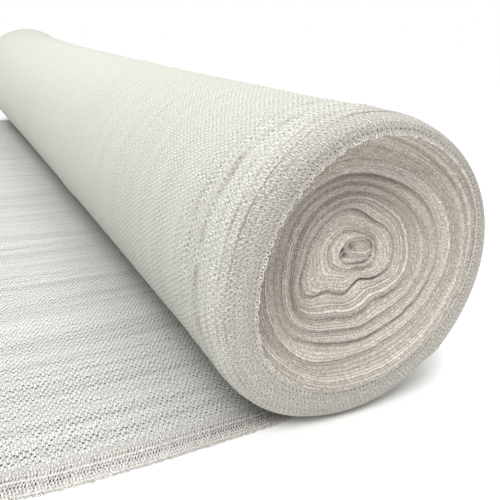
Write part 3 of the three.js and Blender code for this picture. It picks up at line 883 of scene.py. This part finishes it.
def loop_tree(finish):
    """Geometry nodes that set loops of yarn along an edge. Each point of the edge knows its outward way."""
    tree = bpy.data.node_groups.new("selvedge loops", "GeometryNodeTree")
    tree.interface.new_socket("Edge", in_out="INPUT", socket_type="NodeSocketGeometry")
    for size in ("Pitch", "Width", "Reach", "Yarn"):
        tree.interface.new_socket(size, in_out="INPUT", socket_type="NodeSocketFloat")
    tree.interface.new_socket("Seed", in_out="INPUT", socket_type="NodeSocketInt")
    tree.interface.new_socket("Loops", in_out="OUTPUT", socket_type="NodeSocketGeometry")
    given = add_node(tree, "NodeGroupInput").outputs
    edge = add_node(tree, "GeometryNodeMeshToCurve", given["Edge"])
    pitch = {"Length": given["Pitch"]}
    spaced = add_node(tree, "GeometryNodeResampleCurve", edge, named=pitch, mode="LENGTH")

    # One loop: two thirds of a ring of yarn, drawn out to its reach.
    arc = {
        "Resolution": RING_POINTS,
        "Radius": 0.5,
        "Start Angle": math.radians(RING_FROM),
        "Sweep Angle": math.radians(RING_ROUND),
    }
    ring = add_node(tree, "GeometryNodeCurveArc", named=arc)
    size = add_node(tree, TOGETHER, given["Width"], given["Reach"], 1.0)
    drawn = add_node(tree, "GeometryNodeTransform", ring, named={"Scale": size})
    circle = {"Resolution": YARN_SIDES, "Radius": 0.5}
    section = add_node(tree, "GeometryNodeCurvePrimitiveCircle", named=circle)
    thin = add_node(tree, TOGETHER, given["Yarn"], given["Yarn"], given["Yarn"])
    section = add_node(tree, "GeometryNodeTransform", section, named={"Scale": thin})
    loop = add_node(tree, "GeometryNodeCurveToMesh", drawn, section, named={"Fill Caps": True})

    # It points outwards with its feet along the edge, swayed and sized by chance.
    align = "FunctionNodeAlignRotationToVector"
    outward = add_node(tree, "GeometryNodeInputNamedAttribute", "outward", data_type="FLOAT_VECTOR")
    facing = add_node(tree, align, named={"Vector": outward}, axis="Y")
    tangent = add_node(tree, "GeometryNodeInputTangent")
    turned = add_node(tree, align, facing, named={"Vector": tangent}, axis="X", pivot_axis="Y")
    sways = {0: LOOP_SWAYS[0], 1: LOOP_SWAYS[1], "Seed": given["Seed"]}
    sway = add_node(tree, "FunctionNodeRandomValue", named=sways, data_type="FLOAT_VECTOR")
    swayed = add_node(tree, "FunctionNodeRotateRotation", turned, sway, rotation_space="LOCAL")
    sizes = {2: LOOP_SIZES[0], 3: LOOP_SIZES[1], "Seed": given["Seed"]}
    sized = add_node(tree, "FunctionNodeRandomValue", named=sizes).outputs[1]
    settings = {"Instance": loop, "Rotation": swayed, "Scale": sized}
    placed = add_node(tree, "GeometryNodeInstanceOnPoints", spaced, named=settings)
    real = add_node(tree, "GeometryNodeRealizeInstances", placed)
    smooth = add_node(tree, "GeometryNodeSetShadeSmooth", real)
    painted = add_node(tree, "GeometryNodeSetMaterial", smooth, named={"Material": finish})
    add_node(tree, "NodeGroupOutput", painted)
    return tree


def yarn_finish(name, colour, shade_colour):
    """Single loops of extruded polyethylene yarn. They are smooth, so the eye sees white loops with a small
    soft gloss, greyer here and there where the yarn is thinner."""
    material = bpy.data.materials.new(name)
    material.use_nodes = True
    tree = material.node_tree
    shader = tree.nodes["Principled BSDF"]
    place = add_node(tree, "ShaderNodeTexCoord").outputs["Object"]
    patches = add_node(tree, NOISE, named={"Vector": place, "Scale": THIN_PATCHES, "Detail": 2.0})
    patches = add_node(tree, MAP, patches, *THIN_SHOWS)
    ends = {FIRST_COLOUR: linear(shade_colour), SECOND_COLOUR: linear(colour)}
    tint = add_node(tree, MIX, patches, named=ends, data_type="RGBA").outputs[MIXED_COLOUR]
    tree.links.new(tint, shader.inputs["Base Color"])
    shader.inputs["Roughness"].default_value = 0.5
    shader.inputs["IOR"].default_value = 1.5
    return material


near_lip, far_lip = grid[:, 0], grid[:, -1]
from_middle = (near_lip - (0, 0, LIP_MIDDLE_Z)) * (1, 0, 1)
lip_way = np.array((0, -LIP_OUTWARDS, 0)) - from_middle * LIP_INWARDS
edges = (
    ("loops_near_lip", near_lip, lip_way, 1),
    ("loops_far_lip", far_lip, lip_way * (1, -1, 1), 2),
    ("loops_loose_near", loose_points[:, 0], (0, -1, 0), 3),
    ("loops_loose_far", loose_points[:, -1], (0, 1, 0), 4),
)
loops_tree = loop_tree(yarn_finish("loops of white polyethylene yarn", "#e6e2da", "#a9a49b"))
loop_values = {
    "Pitch": LOOP_PITCH * MM,
    "Width": LOOP_WIDTH * MM,
    "Reach": LOOP_REACH * MM,
    "Yarn": YARN_WIDTH * MM,
}
for name, points, way, seed in edges:
    edge_mesh = bpy.data.meshes.new(name)
    edge_mesh.from_pydata((points * MM).tolist(), [(i, i + 1) for i in range(len(points) - 1)], [])
    outward = edge_mesh.attributes.new("outward", "FLOAT_VECTOR", "POINT")
    outward.data.foreach_set("vector", np.broadcast_to(way, points.shape).ravel())
    loops = bpy.data.objects.new(name, edge_mesh)
    bpy.context.collection.objects.link(loops)
    modifier = loops.modifiers.new("loops", "NODES")
    modifier.node_group = loops_tree
    values = {**loop_values, "Seed": seed}
    for item in loops_tree.interface.items_tree:
        if item.name in values:
            modifier[item.identifier] = values[item.name]
    seen = loops.evaluated_get(bpy.context.evaluated_depsgraph_get())
    plain = bpy.data.meshes.new_from_object(seen)
    loops.modifiers.clear()
    loops.data = plain
    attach(loops, "root")

# Floor and light
# A plain pale painted floor, matt, so the eye sees an even white. An overcast-white surround, one broad
# soft sun from the left and the near end, and a soft lamp overhead light the cloth.
FLOOR_REACH = 12.0
floor_mesh = bpy.data.meshes.new("floor")
corners = [(-FLOOR_REACH, -FLOOR_REACH, 0), (FLOOR_REACH, -FLOOR_REACH, 0)]
corners += [(FLOOR_REACH, FLOOR_REACH, 0), (-FLOOR_REACH, FLOOR_REACH, 0)]
floor_mesh.from_pydata(corners, [], [(0, 1, 2, 3)])
floor = bpy.data.objects.new("floor", floor_mesh)
bpy.context.collection.objects.link(floor)
floor_finish = bpy.data.materials.new("pale painted floor")
floor_finish.use_nodes = True
floor_shader = floor_finish.node_tree.nodes["Principled BSDF"]
floor_shader.inputs["Base Color"].default_value = linear("#fdfdfd")
floor_shader.inputs["Roughness"].default_value = 0.8
floor.data.materials.append(floor_finish)

# High soft daylight from the left and the near end. Lights and floor are in metres.
SUN_FROM = (-0.44, -0.46, 1.0)
SUN_WIDTH = 26.0
SUN_STRENGTH = 2.25
sun = bpy.data.objects.new("daylight", bpy.data.lights.new("daylight", "SUN"))
bpy.context.collection.objects.link(sun)
sun.data.angle = math.radians(SUN_WIDTH)
sun.data.energy = SUN_STRENGTH
sun.rotation_euler = Vector(SUN_FROM).to_track_quat("Z", "Y").to_euler()

# A broad soft lamp overhead, near the middle of the roll, aimed at its near half.
LAMP_PLACE = Vector((0.15, -0.1, 1.9))
LAMP_AIM = Vector((0, -0.3, 0.2))
LAMP_SIZE = 1.6
LAMP_POWER = 26.0
lamp = bpy.data.objects.new("overhead lamp", bpy.data.lights.new("overhead lamp", "AREA"))
bpy.context.collection.objects.link(lamp)
lamp.location = LAMP_PLACE
lamp.rotation_euler = (LAMP_PLACE - LAMP_AIM).to_track_quat("Z", "Y").to_euler()
lamp.data.size = LAMP_SIZE
lamp.data.energy = LAMP_POWER

# The surround is white to the eye and lights the cloth more weakly than that.
SURROUND_LIGHT = 0.47
world = bpy.data.worlds.new("surround")
world.use_nodes = True
background = world.node_tree.nodes["Background"]
seen_directly = add_node(world.node_tree, "ShaderNodeLightPath")
strength = add_node(world.node_tree, MIX, seen_directly, named={2: SURROUND_LIGHT, 3: 1.0})
world.node_tree.links.new(strength.outputs[0], background.inputs["Strength"])
background.inputs["Color"].default_value = linear("#ffffff")
bpy.context.scene.world = world
bpy.context.scene.view_settings.view_transform = "Standard"
